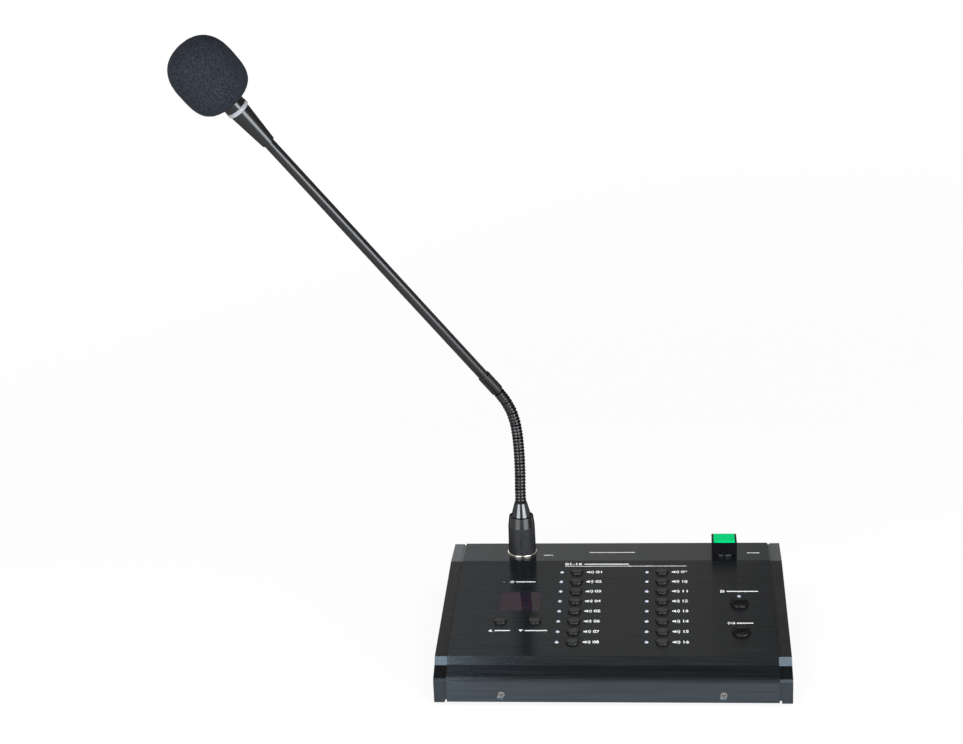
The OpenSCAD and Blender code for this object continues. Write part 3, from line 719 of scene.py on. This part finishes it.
def draw_digit(ink, x, y):
    """All seven segments of a digit about its middle."""
    half_l = DIGIT_W / 2 - SEGMENT_W
    for rise in (-0.5, 0, 0.5):
        ink.bar(x - half_l, x + half_l, y + rise * DIGIT_H, SEGMENT_W)
    for edge in (-0.5, 0.5):
        across = x + edge * (DIGIT_W - SEGMENT_W)
        for rise in (-0.25, 0.25):
            left = across - SEGMENT_W / 2
            ink.bar(left, left + SEGMENT_W, y + rise * DIGIT_H, DIGIT_H / 2 - SEGMENT_W)


def make_digits(material):
    middle = panel_frame().inverted() @ centre("display_window") / MM
    ink = Ink(panel_frame() @ Matrix.Translation(mm(0, 0, -WINDOW_SINK)))
    for side in (-0.5, 0.5):
        draw_digit(ink, middle.x + DIGIT_SHIFT[0] + side * DIGIT_PITCH, middle.y + DIGIT_SHIFT[1])
    digits = link("display_digits", ink.made, material, "console")


# Looks of the keys and lamps

KEY_DOME = 0.5


def from_middle(tree, middle):
    """Squared distance from a point of the piece's top, in shares of its width."""
    place = add(tree, "TexCoord").outputs["Generated"]
    across = add(tree, "VectorMath", {0: place, 1: (*middle, 0)}, operation="SUBTRACT").outputs["Vector"]
    level = add(tree, "VectorMath", {0: across, 1: (1, 1, 0)}, operation="MULTIPLY").outputs["Vector"]
    return add(tree, "VectorMath", {0: level, 1: level}, operation="DOT_PRODUCT").outputs["Value"]


def dome(material, depth_mm):
    """Makes the top of a piece look rounded, highest at the middle."""
    tree = material.node_tree
    height = worked(tree, "SUBTRACT", 1, from_middle(tree, (0.5, 0.5)))
    tree.links.new(relief(tree, height, 4 * depth_mm), shader_of(material).inputs["Normal"])


def cover(material, share, colour):
    """Lays another colour over a material's own, where the share is 1."""
    base = shader_of(material).inputs["Base Color"]
    tree = material.node_tree
    tree.links.new(mixed(tree, share, base.links[0].from_socket, colour), base)


def key_plastic(name, light, level, middle):
    """Rounded tops with painted light: a lighter speckled grey laid on the upward-facing top around a spot
    at a share of its depth, while edges and sides stay black with their reflection turned down as painted
    shade.
    """
    material = surface(name, grey(0.003), grey(0.005), 0.4, 2500, 0.01)
    tree = material.node_tree
    slope = math.radians(PANEL_SLOPE)
    facing = {0: add(tree, "TexCoord").outputs["Normal"], 1: (0, -math.sin(slope), math.cos(slope))}
    upward = add(tree, "VectorMath", facing, operation="DOT_PRODUCT").outputs["Value"]
    # Painted light: mask of the upward-facing top near the lit spot, where the lighter grey is laid.
    upper = between(tree, upward, 0, 1, 0.75, 0.93)
    inner = between(tree, from_middle(tree, (0.5, middle)), 1, 0, 0.1, 0.2)
    speckled_painted_light = grey_ramp(tree, grain(tree, 2200), ((0.35, 0.5 * light), (0.65, light)))
    cover(material, worked(tree, "MULTIPLY", upper, inner), speckled_painted_light)
    painted_rim_shade(material, level)
    dome(material, KEY_DOME)
    return material


def lamp_lens():
    """Milky lamps; the power lamp at the far left is painted near black."""
    material = surface("lamp_lens", (0.36, 0.37, 0.42), (0.42, 0.43, 0.5), 0.3, 600, 0.004)
    tree = material.node_tree
    place = add(tree, "TexCoord").outputs["Object"]
    across = add(tree, "SeparateXYZ", {"Vector": place}).outputs["X"]
    # The lens of the power lamp at the far left is painted near black.
    painted_dark_lamp = worked(tree, "LESS_THAN", across, POWER_LAMP_X * MM)
    cover(material, painted_dark_lamp, (0.02, 0.022, 0.026, 1))
    return material


# Looks of the nodes, group by group

def dress_housing():
    dress(brushed("black_anodised", 0.27, 1.05, 0, (0, 1, 0.3)), "top_shell")
    dress(brushed("cap_anodised", 0.36, 0.93, 1, (1, 0.15, 0.1)), "left_end_cap", "right_end_cap")
    powder = surface("powder_coat", grey(0.014), grey(0.024), 0.55, 2200, 0.03)
    dress(powder, "chassis")
    rubber = surface("foot_rubber", grey(0.012), grey(0.02), 0.7, 900, 0.03)
    dress(rubber, "rubber_feet")
    steel = surface("screw_steel", grey(0.2), grey(0.3), 0.22, 1500, 0.004, inputs={"Metallic": 1})
    dress(steel, "case_screws", "board_screws", "board_posts")
    inputs = {"Metallic": 0.6}
    black_steel = surface("black_screw", grey(0.02), grey(0.04), 0.35, 1500, 0.004, inputs=inputs)
    dress(black_steel, "cap_screws")


def dress_electrics():
    laminate = surface("circuit_board", (0.008, 0.05, 0.02), (0.015, 0.08, 0.035), 0.4, 600, 0.02)
    dress(laminate, "main_board")
    moulded = surface("moulded_black", grey(0.01), grey(0.016), 0.5, 1800, 0.01)
    dress(moulded, "key_switches", "talk_switch", "digit_display")
    dress(moulded, "link_sockets", "power_jack", "socket_body")
    dress(lamp_lens(), "panel_leds")
    dress(tinted("window_tint", (0.011, 0.009, 0.017), (0.016, 0.013, 0.023)), "display_window")


def dress_keys():
    zones = [f"zone_key_{number:02d}" for number in range(1, ROWS * len(COLUMNS) + 1)]
    dress(key_plastic("key_plastic", 0.043, 0.3, 0.55), "page_up_key", "page_down_key", *zones)
    dress(key_plastic("dark_key_plastic", 0.04, 0.18, 0.9), "group_key", "all_call_key")


def dress_talk_key():
    inputs = {"Specular IOR Level": 0.05}
    talk = surface("talk_black", *LACQUER, 0.3, 1500, 0.004, rough_spread=0.03, inputs=inputs)
    dress(talk, "talk_bezel")
    dress(surface("washer_gloss", *LACQUER, 0.15, 600, 0.002, rough_spread=0.03), "talk_collar")
    inputs = {"Specular IOR Level": 0.01, "Emission Color": (0, 0.6, 0.2, 1), "Emission Strength": 0.3}
    lens = surface("talk_green", (0, 0.4, 0.12), (0, 0.45, 0.135), 0.4, 300, 0.004, inputs=inputs)
    dress(lens, "talk_lens")


def dress_plug():
    turned = gloss("plug_gloss", 0.22, 0.62)
    shader_of(turned).inputs["Anisotropic"].default_value = 0.95
    draw_out(turned, (0, 0, 1))
    dress(turned, "plug_collar")
    knurled = surface("plug_knurl", grey(0.008, 1.15), grey(0.025, 1.15), 0.45, 1, 0.06, (2200, 2200, 90))
    # Painted shade: the barrel's reflection is turned down at its rims.
    painted_rim_shade(knurled, 0.2)
    dress(knurled, "plug_barrel")
    chrome = surface("bright_chrome", (0.62, 0.57, 0.5), (0.7, 0.65, 0.57), 0.22, 400, 0.0003,
                     rough_spread=0.03, inputs={"Metallic": 1})
    dress(chrome, "socket_ring")


def dress_microphone():
    dress(gloss("black_chrome", 0.12, 0.52), "neck_ferrule")
    dress(gloss("tube_gloss", 0.25, 0.44), "neck_sleeve", "neck_tube")
    dress(gloss("collar_gloss", 0.17, 0.47), "head_collar", "capsule")
    dress(surface("clear_ring", grey(0.25, 1.08), grey(0.28, 1.08), 0.45, 300, 0.0001), "light_ring")


# Pieces made here, with their materials

def make_pieces():
    make_neck(gloss("neck_black", 0.2, 0.36))
    foam = surface("foam", (0.0064, 0.0073, 0.0096), (0.028, 0.032, 0.0414), 0.95, 1000, 0.3,
                   inputs={"Specular IOR Level": 0.05})
    make_foam(foam)
    make_print(surface("white_ink", grey(0.72), grey(0.8), 0.5, 2000, 0.002))
    make_digits(tinted("digit_tint", (0.024, 0.01, 0.018), (0.031, 0.014, 0.023)))


bpy.context.scene.view_settings.view_transform = "Standard"
make_camera()
make_world()
make_lamps()
make_floor()
dress_housing()
dress_electrics()
dress_keys()
dress_talk_key()
dress_plug()
dress_microphone()
make_pieces()
